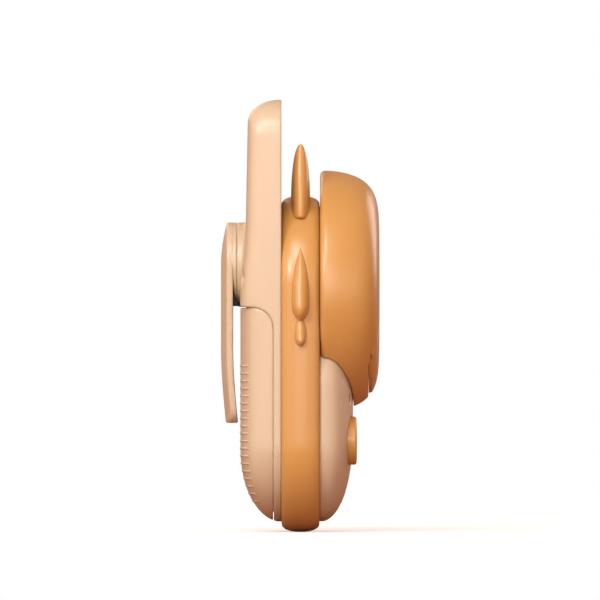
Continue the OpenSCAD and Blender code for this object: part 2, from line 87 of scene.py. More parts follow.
def two_faced(tree, seen, cast, output):
    """The camera sees the first shader, and the toy is lit by the second."""
    pick, ray = tree.nodes.new("ShaderNodeMixShader"), tree.nodes.new("ShaderNodeLightPath")
    tree.links.new(ray.outputs["Is Camera Ray"], pick.inputs["Fac"])
    tree.links.new(cast.outputs[0], pick.inputs[1])
    tree.links.new(seen.outputs[0], pick.inputs[2])
    tree.links.new(pick.outputs[0], tree.nodes[output].inputs["Surface"])

room = bpy.data.worlds.new("room")
room.use_nodes = True
seen = room.node_tree.nodes["Background"]
cast = room.node_tree.nodes.new("ShaderNodeBackground")
seen.inputs["Color"].default_value = (1, 1, 1, 1)
cast.inputs["Color"].default_value = (1.0, 0.60, 0.44, 1)
cast.inputs["Strength"].default_value = 0.50
two_faced(room.node_tree, seen, cast, "World Output")
scene.world = room

def angles(count):
    """Even steps round a full turn."""
    return [2 * math.pi * k / count for k in range(count)]

floor_radius, floor_sides = 0.7, 72

floor_mesh = bpy.data.meshes.new("floor")
rim = [(floor_radius * math.cos(a), floor_radius * math.sin(a), 0) for a in angles(floor_sides)]
floor_mesh.from_pydata(rim, [], [tuple(range(floor_sides))])
floor = bpy.data.objects.new("floor", floor_mesh)
scene.collection.objects.link(floor)
floor_paint = bpy.data.materials.new("floor_paint")
floor_paint.use_nodes = True
links, parts = floor_paint.node_tree.links, floor_paint.node_tree.nodes
pale, dim = parts["Principled BSDF"], parts.new("ShaderNodeBsdfDiffuse")
pale.inputs["Base Color"].default_value = (0.60, 0.58, 0.57, 1)
pale.inputs["Roughness"].default_value = 0.7
pale.inputs["Emission Color"].default_value = (1, 1, 1, 1)
# the floor brightens to white away from the toy, so that it has no visible edge
spot, spread = parts.new("ShaderNodeTexCoord"), parts.new("ShaderNodeVectorMath")
spread.operation = "LENGTH"
fade = parts.new("ShaderNodeMapRange")
for socket, value in (("From Min", 0.05), ("From Max", 0.55), ("To Min", 0.55), ("To Max", 1.0)):
    fade.inputs[socket].default_value = value
links.new(spot.outputs["Object"], spread.inputs[0])
links.new(spread.outputs["Value"], fade.inputs["Value"])
links.new(fade.outputs["Result"], pale.inputs["Emission Strength"])
dim.inputs["Color"].default_value = (0.38, 0.17, 0.11, 1)
two_faced(floor_paint.node_tree, pale, dim, "Material Output")
floor_mesh.materials.append(floor_paint)

# ---------------------------------------------------------------------------------------------
# The rear shell, moulded in sand-coloured plastic in one piece with the aerial and the clip's
# boss. It is a thin wall all over. The battery compartment's opening takes up its lower back.
body_half_width, body_low, body_high, corner = 32.0, 3.0, 97.6, 24.0
band_half, wall = 5.7, 1.8
rear_depth, foot_rise, shoulder_rise = 12.3, 21.6, 8.0
back_lean, lean_low, lean_high = 1.65, 68.0, 93.0
aerial_middle, aerial_half, aerial_root, aerial_tip, tip_rise = -21.0, 11.0, 60.0, 129.3, 7.0
boss_height, boss_radius, boss_face = 80.0, 12.7, 19.05
relief_top, relief_rise, relief_face, relief_depth = 78.5, 11.0, 18.0, 2.3
door_seam, door_top, door_round = 8.1, 67.2, 6.4
upper_screws = ((-26, 76), (26, 76))

# A form is a distance in millimetres from a surface, and negative inside it.

def blended(a, b, r):
    """The union of two forms, with a fillet of radius r where they meet."""
    k = np.maximum(r - np.abs(a - b), 0) / r
    return np.minimum(a, b) - k * k * r / 4

def shared(a, b, r):
    """What lies in both forms, with its edges rounded."""
    return -blended(-a, -b, r)

def cut(a, b, r):
    """The first form without the second, with its edges rounded."""
    return shared(a, -b, r)

def rod(x, z, cx, cz, radius):
    return np.hypot(x - cx, z - cz) - radius

def slab(v, low, high):
    return np.abs(v - (low + high) / 2) - (high - low) / 2

def bowed(x, depth_at, half, depth, n):
    """A section with rounded corners, of the given half-width and depth. It is an ellipse where n
    is 2, and boxier where n is more."""
    half, depth = np.maximum(half, 0.02), np.maximum(depth, 0.02)
    across, along = np.abs(x) + 1e-3, np.maximum(depth_at, 0) + 1e-3
    size = ((across / half) ** n + (along / depth) ** n) ** (1 / n)
    reach = np.hypot(across, along)
    return reach - reach / size

def outline(z, d=0.0):
    """Half-width of the body's rounded-rectangle outline at a height."""
    r = corner + d
    drop = np.maximum(np.maximum(body_low + corner - z, z - (body_high - corner)), 0)
    past_the_end = 60 * np.maximum(drop - r, 0)
    return body_half_width - corner + np.sqrt(np.maximum(r * r - drop * drop, 0)) - past_the_end

def ease(t):
    """From 0 to 1 as t does, with a soft start and end."""
    t = np.clip(t, 0, 1)
    return t * t * (3 - 2 * t)

def back_line(z):
    """How deep the back is at a height: it leans in under the shoulders, and a little more above."""
    below = rear_depth - back_lean * ease((z - lean_low) / (lean_high - lean_low))
    above = rear_depth - back_lean - 0.6 * (z - lean_high) / 30
    return np.where(z < lean_high, below, above)

def closing(t, n):
    """What is left of a depth, from 1 down to 0, at the fraction t of the way round a rounded end."""
    return np.maximum(1 - np.clip(t, 0, 1) ** n, 0) ** (1 / n)

def rear_body(x, y, z, d=0.0):
    depth = (back_line(z) + d) * closing((body_low + foot_rise - z) / (foot_rise + d), 2)
    depth = depth * closing((z - (body_high - shoulder_rise)) / (shoulder_rise + d), 2.3)
    return bowed(x, y - band_half, outline(z, d), depth, 5)

def aerial(x, y, z, d=0.0):
    rise = np.maximum(z - (aerial_tip - aerial_half), 0)
    half = np.sqrt(np.maximum((aerial_half + d) ** 2 - rise * rise, 0))
    depth = (back_line(z) + d) * closing((z - (aerial_tip - tip_rise)) / (tip_rise + d), 2.1)
    body = bowed(x - aerial_middle, y - band_half, half, depth, 4.6)
    return np.maximum(np.maximum(body, aerial_root - z), z - aerial_tip - d)

def rear_form(x, y, z, d=0.0):
    """The body and the aerial in one, with a fillet only above the shoulders. It is d larger all round."""
    return blended(rear_body(x, y, z, d), aerial(x, y, z, d), 0.02 + 2.4 * ease((z - 86) / 8))

def round_corner(across, up, r):
    """A corner of radius r, from the distances to its centre along two directions."""
    return np.hypot(np.maximum(across, 0), np.maximum(up, 0)) + np.minimum(np.maximum(across, up), 0) - r

def door_region(y, z, d=0.0):
    """Negative where the battery door is: behind its side seam and under its top edge."""
    return round_corner(door_seam + door_round - y, z - (door_top - door_round), door_round) - d

def seam_gap(y, z):
    """Half the gap round the door: hairline, and a little wider behind its top edge and at its foot."""
    return 0.02 + 0.11 * np.maximum(ease((y - 15.2) / 0.8) * (z > 60), ease((6.4 - z) / 0.6))

def clip_relief(y, z):
    """Negative where the boss and the clip's base fall away from the clip's arm."""
    line = relief_face + relief_depth * closing((relief_top - z) / relief_rise, 2.1)
    return np.maximum(line - y, z - relief_top)

def skinned(name, form, low, high, cell):
    """The closed skin of a form, as a mesh object. The form is sampled in cubes of the given size,
    each cube on the surface gets one point, and the points are then moved onto the surface."""
    lines = [np.arange(a - 1.5 * cell, b + 2.5 * cell, cell) for a, b in zip(low, high)]
    value = form(*np.meshgrid(*lines, indexing="ij"))
    inner = value < 0
    size = value.shape
    count = np.zeros([s - 1 for s in size], np.int8)
    for i in (0, 1):
        for j in (0, 1):
            for k in (0, 1):
                count += inner[i:size[0] - 1 + i, j:size[1] - 1 + j, k:size[2] - 1 + k]
    mixed = (count > 0) & (count < 8)
    number = np.full(mixed.shape, -1)
    number[mixed] = np.arange(mixed.sum())
    cells = np.argwhere(mixed)
    total, hits = np.zeros((len(cells), 3)), np.zeros(len(cells))
    quads = []
    for axis in range(3):
        u, v = (axis + 1) % 3, (axis + 2) % 3
        for a in (0, 1):
            for b in (0, 1):
                start = cells.copy()
                start[:, u] += a
                start[:, v] += b
                end = start.copy()
                end[:, axis] += 1
                from_value, to_value = value[tuple(start.T)], value[tuple(end.T)]
                crossed = (from_value < 0) != (to_value < 0)
                point = start.astype(float)
                fall = np.where(crossed, from_value - to_value, 1)
                point[:, axis] += np.where(crossed, from_value / fall, 0)
                total[crossed] += point[crossed]
                hits[crossed] += 1
        ahead = [slice(None)] * 3
        behind = [slice(None)] * 3
        ahead[axis], behind[axis] = slice(1, None), slice(None, -1)
        change = np.argwhere(inner[tuple(ahead)] != inner[tuple(behind)])
        clear = (change[:, u] > 0) & (change[:, v] > 0)
        clear &= (change[:, u] < size[u] - 1) & (change[:, v] < size[v] - 1)
        change = change[clear]
        ring = []
        for du, dv in ((0, 0), (-1, 0), (-1, -1), (0, -1)):
            beside = change.copy()
            beside[:, u] += du
            beside[:, v] += dv
            ring.append(number[tuple(beside.T)])
        ring = np.stack(ring, 1)
        turned = ~inner[tuple(change.T)]
        ring[turned] = ring[turned][:, ::-1]
        quads.append(ring)
    points = total / hits[:, None] * cell + np.array([line[0] for line in lines])
    step = cell * 0.04
    for _ in range(4):
        here = form(*points.T)
        slope = np.stack([(form(*(points + offset).T) - form(*(points - offset).T)) / (2 * step)
                          for offset in np.eye(3) * step], 1)
        steep = np.maximum((slope ** 2).sum(1), 0.05)
        move = slope * (here / steep)[:, None]
        length = np.maximum(np.linalg.norm(move, axis=1), 1e-9)
        points -= move * np.minimum(1, 0.4 * cell / length)[:, None]
    return shaped(name, points, np.concatenate(quads))

def shaped(name, points, faces):
    """A mesh object from points in millimetres."""
    mesh = bpy.data.meshes.new(name)
    mesh.from_pydata((np.asarray(points) * 0.001).tolist(), [], [list(map(int, face)) for face in faces])
    mesh.validate()
    mesh.shade_smooth()
    made = bpy.data.objects.new(name, mesh)
    scene.collection.objects.link(made)
    return made

class Tone:
    """A socket of a finish, with arithmetic, so that a formula on it reads as one."""

    def __init__(self, finish, socket):
        self.finish, self.socket = finish, socket

    def calculate(self, operation, *values):
        return self.finish.node("ShaderNodeMath", {"operation": operation}, dict(enumerate(values)))

    def __add__(self, other):
        return self.calculate("ADD", self, other)

    def __radd__(self, other):
        return self.calculate("ADD", other, self)

    def __sub__(self, other):
        return self.calculate("SUBTRACT", self, other)

    def __mul__(self, other):
        return self.calculate("MULTIPLY", self, other)

    def __rmul__(self, other):
        return self.calculate("MULTIPLY", other, self)

    def between(self, low, high):
        """0 below low, 1 above high, and smooth between."""
        return self.finish.node("ShaderNodeMapRange", {"interpolation_type": "SMOOTHSTEP"},
                                {"Value": self, "From Min": low, "From Max": high}, "Result")

class Finish:
    """A material: one Principled shader, and the nodes that feed it."""

    def __init__(self, name, **fixed):
        self.material = bpy.data.materials.new(name)
        self.material.use_nodes = True
        self.tree = self.material.node_tree
        self.shader = self.tree.nodes["Principled BSDF"]
        self.feed(**fixed)

    def node(self, kind, settings=None, inputs=None, output=0):
        made = self.tree.nodes.new(kind)
        for key, value in (settings or {}).items():
            setattr(made, key, value)
        for key, value in (inputs or {}).items():
            self.join(made.inputs[key], value)
        return Tone(self, made.outputs[output])

    def join(self, socket, value):
        if isinstance(value, Tone):
            self.tree.links.new(value.socket, socket)
        elif isinstance(value, tuple) and len(value) == 3 and len(socket.default_value) == 4:
            socket.default_value = (*value, 1)
        else:
            socket.default_value = value

    def feed(self, **sockets):
        for key, value in sockets.items():
            self.join(self.shader.inputs[key.replace("_", " ")], value)

    def place(self):
        return self.node("ShaderNodeTexCoord", output="Object")

    def noise(self, scale, detail=2.0, rough=0.5):
        return self.node("ShaderNodeTexNoise", None, {
            "Vector": self.place(), "Scale": scale, "Detail": detail, "Roughness": rough})

    def mixed(self, amount, first, second):
        """A mix of two colours, by the Mix node's colour sockets."""
        made = self.tree.nodes.new("ShaderNodeMix")
        made.data_type = "RGBA"
        self.join(made.inputs["Factor"], amount)
        self.join(made.inputs[6], first)
        self.join(made.inputs[7], second)
        return Tone(self, made.outputs[2])

    def bumped(self, height, depth, strength):
        self.feed(Normal=self.node("ShaderNodeBump", None, {
            "Height": height, "Distance": depth, "Strength": strength}, "Normal"))

def moulded(name, colour, deep, rough, glow):
    """Satin moulded plastic, with a very fine spark-eroded grain, a slow drift of colour, and worn,
    polished edges."""
    made = Finish(name, IOR=1.53, Specular_IOR_Level=0.7, Subsurface_Weight=glow,
                  Subsurface_Radius=(0.003, 0.0011, 0.0006), Subsurface_Scale=1.0)
    drift = made.noise(26, 3).between(0.35, 0.7)
    grain = made.noise(3800, 3, 0.6)
    worn = made.node("ShaderNodeNewGeometry", output="Pointiness").between(0.53, 0.60)
    body = made.mixed(drift * 0.5, colour, deep)
    lighter = tuple(min(1.0, c * 1.12 + 0.02) for c in colour)
    made.feed(Base_Color=made.mixed(worn * 0.35, body, lighter))
    smears = made.noise(90, 4)
    made.feed(Roughness=rough + 0.10 * (grain - 0.5) + 0.08 * (smears - 0.5) - 0.06 * worn)
    made.bumped(grain, 0.00002, 0.35)
    return made.material

sand = moulded("sand_plastic", (0.605, 0.480, 0.328), (0.580, 0.455, 0.303), 0.37, 0.2)

def rear_shell_form(x, y, z):
    shell = cut(rear_form(x, y, z), rear_form(x, y, z, -wall), 0.3)
    shell = shared(shell, band_half - y, 0.3)
    solid = rear_form(x, y, z)
    # a thick pad under the boss, a lip above the door, and two posts for the upper screws
    pad = shared(shared(rod(x, z, 0, boss_height, boss_radius - 1), 14 - y, 0.3), solid, 0.3)
    shell = np.minimum(shell, pad)
    lip = np.maximum(np.maximum(door_region(y, z, 1.7), 65.2 - z), solid)
    shell = np.minimum(shell, np.maximum(lip, band_half - y))
    for sx, sz in upper_screws:
        post = np.maximum(np.maximum(rod(x, z, sx, sz, 4.2), band_half - y), solid)
        shell = np.minimum(shell, post)
    boss = shared(rod(x, z, 0, boss_height, boss_radius), slab(y, 15.4, boss_face), 0.3)
    shell = blended(shell, cut(boss, clip_relief(y, z), 0.3), 1.6)
    shell = cut(shell, door_region(y, z, seam_gap(y, z)), 0.2)
    # a rail behind the seam, on which the door slides
    under = np.where(door_region(y, z) > 0.1, rear_body(x, y, z, -1.6), rear_body(x, y, z, -2.0))
    rail = np.maximum(np.maximum(under, -rear_body(x, y, z, -3.1)), np.abs(door_region(y, z)) - 1.6)
    shell = np.minimum(shell, np.maximum(rail, 6.3 - z))
    for sx, sz in upper_screws:
        shell = cut(shell, np.maximum(rod(x, z, sx, sz, 2.7), 7.6 - y), 0.5)
        shell = cut(shell, rod(x, z, sx, sz, 1.5), 0.3)
    return shell

rear_shell = skinned("rear_shell_moulding", rear_shell_form, (-32, 5.7, 3), (32, 19.1, 129.3), 0.52)
rear_shell.data.materials.append(sand)
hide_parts("rear_shell")
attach(rear_shell, "housing")

# ---------------------------------------------------------------------------------------------
# The aerial's cover: a flat sand-coloured strip, round at the top, let into the aerial's open
# front. Its foot runs down behind the band as far as the body's rounded corner falls away.
def cover_form(x, y, z):
    rise = np.maximum(z - (aerial_tip - aerial_half), 0)
    plate = np.hypot(x - aerial_middle, rise) - (aerial_half - wall - 0.12)
    foot = np.minimum(98.5 - z, np.maximum(outline(z) - 2.2 - np.abs(x), 83 - z))
    return shared(shared(plate, slab(y, band_half + 0.02, band_half + 1.5), 0.4), foot, 0.4)

aerial_cover = skinned("aerial_cover_strip", cover_form, (-31, 5.7, 83), (-11, 7.3, 128), 0.4)
aerial_cover.data.materials.append(sand)
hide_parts("aerial_cover")
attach(aerial_cover, "housing")

# ---------------------------------------------------------------------------------------------
# The battery door: a thin-walled tray of the same plastic that closes the lower back and slides
# down and off. Fine grip ribs run across it and wrap round its rounded sides.
def door_form(x, y, z):
    shell = cut(rear_body(x, y, z), rear_body(x, y, z, -wall), 0.3)
    return shared(shell, door_region(y, z, -seam_gap(y, z)), 0.2)

battery_door = skinned("battery_door_moulding", door_form, (-32, 8, 3), (32, 18.1, 67.3), 0.5)

rib_count, rib_pitch, rib_top, rib_radius = 19, 2.24, 49.75, 0.36

class Net:
    """A Geometry Nodes tree under construction. Inputs are named, and its result is made a plain mesh."""

    def __init__(self, name):
        self.tree = bpy.data.node_groups.new(name, "GeometryNodeTree")
        self.tree.interface.new_socket("Geometry", in_out="INPUT", socket_type="NodeSocketGeometry")
        self.tree.interface.new_socket("Geometry", in_out="OUTPUT", socket_type="NodeSocketGeometry")
        self.values = {}

    def size(self, name, kind, value):
        """A named input of the tree, with the value it gets on this toy."""
        self.values[name] = value
        self.tree.interface.new_socket(name, in_out="INPUT", socket_type=kind)

    def open(self):
        self.start = self.tree.nodes.new("NodeGroupInput")
        return {socket.name: socket for socket in self.start.outputs}

    def add(self, kind, settings=None, inputs=None, output=0):
        made = self.tree.nodes.new(kind)
        for key, value in (settings or {}).items():
            setattr(made, key, value)
        for key, value in (inputs or {}).items():
            if isinstance(value, bpy.types.NodeSocket):
                self.tree.links.new(value, made.inputs[key])
            else:
                made.inputs[key].default_value = value
        return made.outputs[output]

    def calc(self, operation, *values):
        return self.add("ShaderNodeMath", {"operation": operation}, dict(enumerate(values)))

    def vector(self, x=0.0, y=0.0, z=0.0):
        return self.add("ShaderNodeCombineXYZ", None, {"X": x, "Y": y, "Z": z})

    def wire(self, curve, radius):
        """A round rod along a curve, closed at its ends."""
        profile = self.add("GeometryNodeCurvePrimitiveCircle", None, {"Resolution": 10, "Radius": radius})
        return self.add("GeometryNodeCurveToMesh", None, {
            "Curve": curve, "Profile Curve": profile, "Fill Caps": True})

    def grown(self, geometry, material, name):
        """Ends the tree, runs it, and returns the result as a plain mesh object."""
        whole = self.add("GeometryNodeRealizeInstances", None, {0: geometry})
        coated = self.add("GeometryNodeSetMaterial", None, {"Geometry": whole, "Material": material})
        end = self.tree.nodes.new("NodeGroupOutput")
        self.tree.links.new(coated, end.inputs[0])
        host = bpy.data.objects.new(name + "_host", bpy.data.meshes.new(name + "_host"))
        scene.collection.objects.link(host)
        maker = host.modifiers.new(name, "NODES")
        maker.node_group = self.tree
        for item in self.tree.interface.items_tree:
            if item.in_out == "INPUT" and item.name in self.values:
                maker[item.identifier] = self.values[item.name]
        bpy.context.view_layer.update()
        ready = host.evaluated_get(bpy.context.evaluated_depsgraph_get())
        mesh = bpy.data.meshes.new_from_object(ready)
        bpy.data.objects.remove(host)
        mesh.name = name
        mesh.shade_smooth()
        made = bpy.data.objects.new(name, mesh)
        scene.collection.objects.link(made)
        return made

ribs = Net("grip_ribs")
ribs.size("Ribs", "NodeSocketInt", rib_count)
ribs.size("Pitch", "NodeSocketFloat", rib_pitch * 0.001)
ribs.size("Top", "NodeSocketFloat", rib_top * 0.001)
ribs.size("Half width", "NodeSocketFloat", body_half_width * 0.001)
ribs.size("Depth", "NodeSocketFloat", rear_depth * 0.001)
ribs.size("Foot", "NodeSocketFloat", (body_low + foot_rise) * 0.001)
ribs.size("Foot height", "NodeSocketFloat", foot_rise * 0.001)
ribs.size("Corner", "NodeSocketFloat", corner * 0.001)
ribs.size("Rib radius", "NodeSocketFloat", rib_radius * 0.001)
ribs.size("Sunk sideways", "NodeSocketFloat", 0.9955)
ribs.size("Sunk behind", "NodeSocketFloat", 0.988)
given = ribs.open()
# one rib follows the door's rounded section, from side to side
line = ribs.add("GeometryNodeCurvePrimitiveLine", None, {"Start": (0, 0, 0), "End": (1, 0, 0)})
path = ribs.add("GeometryNodeResampleCurve", None, {"Curve": line, "Count": 150})
along = ribs.add("GeometryNodeSplineParameter", output="Factor")
turn = ribs.calc("MULTIPLY_ADD", along, math.radians(113), math.radians(33.5))
side, rise = ribs.calc("COSINE", turn), ribs.calc("SINE", turn)
boxed = ribs.calc("POWER", ribs.calc("ABSOLUTE", side), 0.4)
across = ribs.calc("MULTIPLY", ribs.calc("SIGN", side), boxed)
back = ribs.calc("POWER", rise, 0.4)
bent = ribs.add("GeometryNodeSetPosition", None, {"Geometry": path, "Position": ribs.vector(
    ribs.calc("MULTIPLY", across, given["Half width"]), ribs.calc("MULTIPLY", back, given["Depth"]))})
rib = ribs.wire(bent, given["Rib radius"])
# each rib is scaled to the width and depth that the door has at its height
step = ribs.vector(0.0, 0.0, ribs.calc("MULTIPLY", given["Pitch"], -1.0))
stops = ribs.add("GeometryNodeMeshLine", None, {"Count": given["Ribs"], "Start Location": ribs.vector(
    0.0, band_half * 0.001, given["Top"]), "Offset": step})
height = ribs.add("ShaderNodeSeparateXYZ", None, {0: ribs.add("GeometryNodeInputPosition")}, "Z")
below = ribs.calc("MAXIMUM", ribs.calc("SUBTRACT", given["Foot"], height), 0.0)
drop = ribs.calc("DIVIDE", below, given["Foot height"])
deep = ribs.calc("SQRT", ribs.calc("SUBTRACT", 1.0, ribs.calc("MULTIPLY", drop, drop)))
fall = ribs.calc("MAXIMUM", ribs.calc("SUBTRACT", (body_low + corner) * 0.001, height), 0.0)
reach = ribs.calc("SQRT", ribs.calc("SUBTRACT", ribs.calc("MULTIPLY", given["Corner"], given["Corner"]),
                                    ribs.calc("MULTIPLY", fall, fall)))
wide = ribs.calc("DIVIDE", ribs.calc("ADD", reach, (body_half_width - corner) * 0.001), given["Half width"])
fitted = ribs.vector(ribs.calc("MULTIPLY", wide, given["Sunk sideways"]),
                     ribs.calc("MULTIPLY", deep, given["Sunk behind"]), 1.0)
rows = ribs.add("GeometryNodeInstanceOnPoints", None, {
    "Points": stops, "Instance": rib, "Scale": fitted})
grip_ribs = ribs.grown(rows, sand, "battery_door_ribs")
for piece in (battery_door, grip_ribs):
    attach(piece, "battery_door")
battery_door.data.materials.append(sand)
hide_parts("battery_door")

# ---------------------------------------------------------------------------------------------
# The belt clip: a round disc screwed to the boss from inside, and an arm on it that springs open.
# The arm and its round head are one moulding that bends under the head. A wedge fills the space
# where the disc falls away from the arm; its near-black colour is painted shade for the deep gap there.
clip_inner, clip_thick = 20.25, 3.6
arm_low, arm_corner, arm_crown = 32.6, 4.5, 1.85

def clip_face(z):
    """How far the arm's faces bow towards the body, low down."""
    return -1.5 * np.clip((54 - z) / 21.5, 0, 1.1) ** 1.6

def clip_half(z):
    """Half the arm's width at a height."""
    return boss_radius - 1.7 * np.clip((boss_height - z) / 44, 0, 1.2)

def clip_outline(x, z):
    """A round head that runs down into a slightly tapered strip."""
    head = rod(x, z, 0, boss_height, boss_radius)
    return np.minimum(head, np.maximum(np.abs(x) - clip_half(z), z - boss_height))

def clip_disc_form(x, y, z):
    # above the bend, the disc goes on into the arm's head
    back = clip_inner + 0.03 + ease((z - 79) / 3)
    disc = shared(rod(x, z, 0, boss_height, boss_radius - 0.02), slab(y, boss_face + 0.06, back), 0.15)
    return cut(disc, clip_relief(y, z), 0.3)

clip_disc = skinned("clip_disc_moulding", clip_disc_form, (-12.8, 19, 67), (12.8, 21.4, 93), 0.3)

def clip_arm_form(x, y, z):
    bow = clip_face(z)
    crown = arm_crown * (np.hypot(x, np.maximum(z - boss_height, 0)) / clip_half(z)) ** 2
    arm = shared(clip_outline(x, z), y - (clip_inner + clip_thick + bow - crown), 0.3)
    arm = shared(arm, clip_inner - 0.02 + bow - y, 0.1)
    end = round_corner(np.abs(x) - clip_half(z) + arm_corner, (arm_low + arm_corner) - z, arm_corner)
    return shared(arm, end, 0.5)

clip_arm = skinned("clip_arm_moulding", clip_arm_form, (-12.8, 18.6, 32.4), (12.8, 24, 92.8), 0.4)

def clip_wedge_form(x, y, z):
    wedge = np.maximum(np.maximum(clip_relief(y, z) - 0.25, 67.6 - z), 17.5 - y)
    return shared(shared(wedge, y - (clip_inner - 0.04), 0.1), np.abs(x) - 9, 0.4)

clip_wedge = skinned("clip_wedge_painted_shade", clip_wedge_form, (-9.1, 17.3, 67.4), (9.1, 20.3, 79.2), 0.25)

# near-black rubber: the own colour of the speaker gasket and the microphone boot, and painted shade on the
# clip's wedge, where it stands in for the shadow between the arm and the boss
rubber_and_painted_shade = Finish("rubber_and_painted_shade", IOR=1.5)
pad_grain = rubber_and_painted_shade.noise(1800, 4)
rubber_and_painted_shade.feed(Base_Color=rubber_and_painted_shade.mixed(pad_grain, (0.012, 0.008, 0.008), (0.028, 0.018, 0.016)),
                Roughness=0.55 + 0.2 * pad_grain)
rubber_and_painted_shade.bumped(pad_grain, 0.00004, 0.5)

for piece in (clip_disc, clip_arm):
    piece.data.materials.append(sand)
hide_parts("clip_base")
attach(clip_disc, "housing")
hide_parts("clip_arm")
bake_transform(clip_arm)
# the wedge's near-black colour is painted shade, standing in for the shadow in the gap between the arm and
# the boss
clip_wedge.data.materials.append(rubber_and_painted_shade.material)
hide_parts("clip_wedge")
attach(clip_wedge, "housing")

# ---------------------------------------------------------------------------------------------
# The trim band: one amber ring with a crowned outside, clamped between the two shells.
band_proud, crown_height = 3.0, 2.6
amber = moulded("amber_plastic", (0.585, 0.310, 0.085), (0.555, 0.283, 0.073), 0.31, 0.15)

def lofted(name, rings, joined=False):
    """A skin over closed rings of points. The ends are capped, or the last ring is joined to the first."""
    rings = np.asarray(rings, float)
    count, around = rings.shape[:2]
    faces = []
    for i in range(count if joined else count - 1):
        j = (i + 1) % count
        for k in range(around):
            after = (k + 1) % around
            faces.append((i * around + k, i * around + after, j * around + after, j * around + k))
    if not joined:
        faces += [tuple(range(around))[::-1], tuple((count - 1) * around + k for k in range(around))]
    made = shaped(name, rings.reshape(-1, 3), faces)
    tidy = bmesh.new()
    tidy.from_mesh(made.data)
    bmesh.ops.remove_doubles(tidy, verts=tidy.verts, dist=1e-7)
    bmesh.ops.recalc_face_normals(tidy, faces=tidy.faces)
    tidy.to_mesh(made.data)
    tidy.free()
    made.data.shade_smooth()
    return made

def boxier(value, power):
    """A sine or cosine raised to a power, with its sign kept: below 1 it makes an ellipse boxier."""
    return math.copysign(abs(value) ** power, value)

# the ring's section, as distance from the corner's centre and y
crown = [math.pi * i / 28 for i in range(29)]
crown_power = 2 / 2.3
outside = [(corner + band_proud - crown_height + crown_height * math.sin(a) ** crown_power,
            boxier(math.cos(a), crown_power) * band_half) for a in crown]
edge = [(corner - wall, band_half - 0.15), (corner - wall + 0.15, band_half), (corner + 0.1, band_half)]
section = edge + outside + [(r, -y) for r, y in reversed(edge)]
side_x, side_z = body_half_width - corner, (body_high - body_low) / 2 - corner
middle_z = (body_high + body_low) / 2
route = []
corners = ((side_x, side_z), (-side_x, side_z), (-side_x, -side_z), (side_x, -side_z))
for quarter, (cx, cz) in enumerate(corners):
    route += [(cx, middle_z + cz, math.radians(90 * quarter + 90 * i / 40)) for i in range(41)]
trim_band = lofted("trim_band_ring", [[(cx + r * math.cos(a), y, cz + r * math.sin(a)) for r, y in section]
                                      for cx, cz, a in route], joined=True)
trim_band.data.materials.append(amber)
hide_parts("trim_band")
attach(trim_band, "housing")

# ---------------------------------------------------------------------------------------------
# The ears: two amber petals, thick at the foot and drawn out to a rounded point, moulded with the
# band. They lean outwards a little.
ear_foot, ear_waist, ear_tip = 94.0, 98.0, 116.1
ear_thick, ear_half_width, ear_reach = 2.85, 8.9, 27.4
for side_name, side in (("left", -1), ("right", 1)):
    rings = []
    for i in range(45):
        t = math.sin(math.pi / 2 * i / 44)
        z = ear_foot + (ear_tip - ear_foot) * t
        above = max((z - ear_waist) / (ear_tip - ear_waist), 0)
        thick = ear_thick * max(1 - above ** 2.4, 0) ** 0.52
        outer = ear_reach - 2.6 * t ** 1.5
        half = ear_half_width * max(1 - t ** 1.25, 0) ** 0.85
        middle = outer - half - 1.2 * t ** 3
        rings.append([(side * (middle + half * math.cos(a)), thick * math.sin(a), z) for a in angles(48)])
    ear = lofted("ear_" + side_name + "_petal", rings)
    ear.data.materials.append(amber)
    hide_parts("ear_" + side_name)
    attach(ear, "housing")

# ---------------------------------------------------------------------------------------------
# The cheek tufts: two small drops on each side of the band, one under the other, each pointed at
# the top and full and rounded at the bottom.
tuft_root = 1.2
# each drop's top, bottom and fullest height, half its thickness, and how far it stands out
tuft_drops = ((85.2, 63.3, 69.0, 2.75, 4.27), (65.6, 55.6, 59.2, 1.95, 2.5))

def band_edge(z):
    """Half-width of the band's outside at a height."""
    above = max(z - (body_high - corner), 0)
    return body_half_width - corner + math.sqrt(max((corner + band_proud) ** 2 - above ** 2, 0))

for side_name, side in (("left", -1), ("right", 1)):
    drops = []
    for top, bottom, fullest, thick, proud in tuft_drops:
        rings = []
        for i in range(41):
            t = (1 - math.cos(math.pi * i / 40)) / 2
            z = top + (bottom - top) * t
            if z > fullest:
                swell = max((top - z) / (top - fullest), 0) ** 0.72
                swell = math.sin(math.pi / 2 * swell) ** 0.95
            else:
                swell = max(1 - ((fullest - z) / (fullest - bottom)) ** 2.1, 0) ** 0.5
            peak = fullest - 1.6
            if z > peak:
                lift = ((top - z) / (top - peak)) ** 1.1
            else:
                lift = max(1 - ((peak - z) / (peak - bottom)) ** 2.4, 0) ** 0.5
            inner, stand = band_edge(z) - tuft_root, proud * lift + tuft_root
            rings.append([(side * (inner + (stand if math.cos(a) > 0 else 1.0) * math.cos(a)),
                           thick * swell * math.sin(a), z) for a in angles(40)])
        drops.append(lofted("drop", rings))
    both_drops = bmesh.new()
    for drop in drops:
        both_drops.from_mesh(drop.data)
        bpy.data.objects.remove(drop)
    tufts = shaped("cheek_tufts_" + side_name + "_pair", [], [])
    both_drops.to_mesh(tufts.data)
    both_drops.free()
    tufts.data.shade_smooth()
    tufts.data.materials.append(amber)
    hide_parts("cheek_tufts_" + side_name)
    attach(tufts, "housing")

# ---------------------------------------------------------------------------------------------
# The front shell: sand plastic with a round belly low down and a flat plate above it, which the
# head covers. Holes are moulded for the buttons, the indicator and the microphone's slots.
belly_depth, slot_half_length, slot_half_height = 10.05, 6.1, 0.45
slot_heights = (12.8, 15.1, 17.4)
button_x, button_z, button_radius = 16.6, 27.3, 7.1
lens_spot = (-20.3, 39.9)
lower_posts = ((-26.5, 44), (26.5, 44))
head_height, plate_radius, plate_low = 72.15, 33.95, 52.0

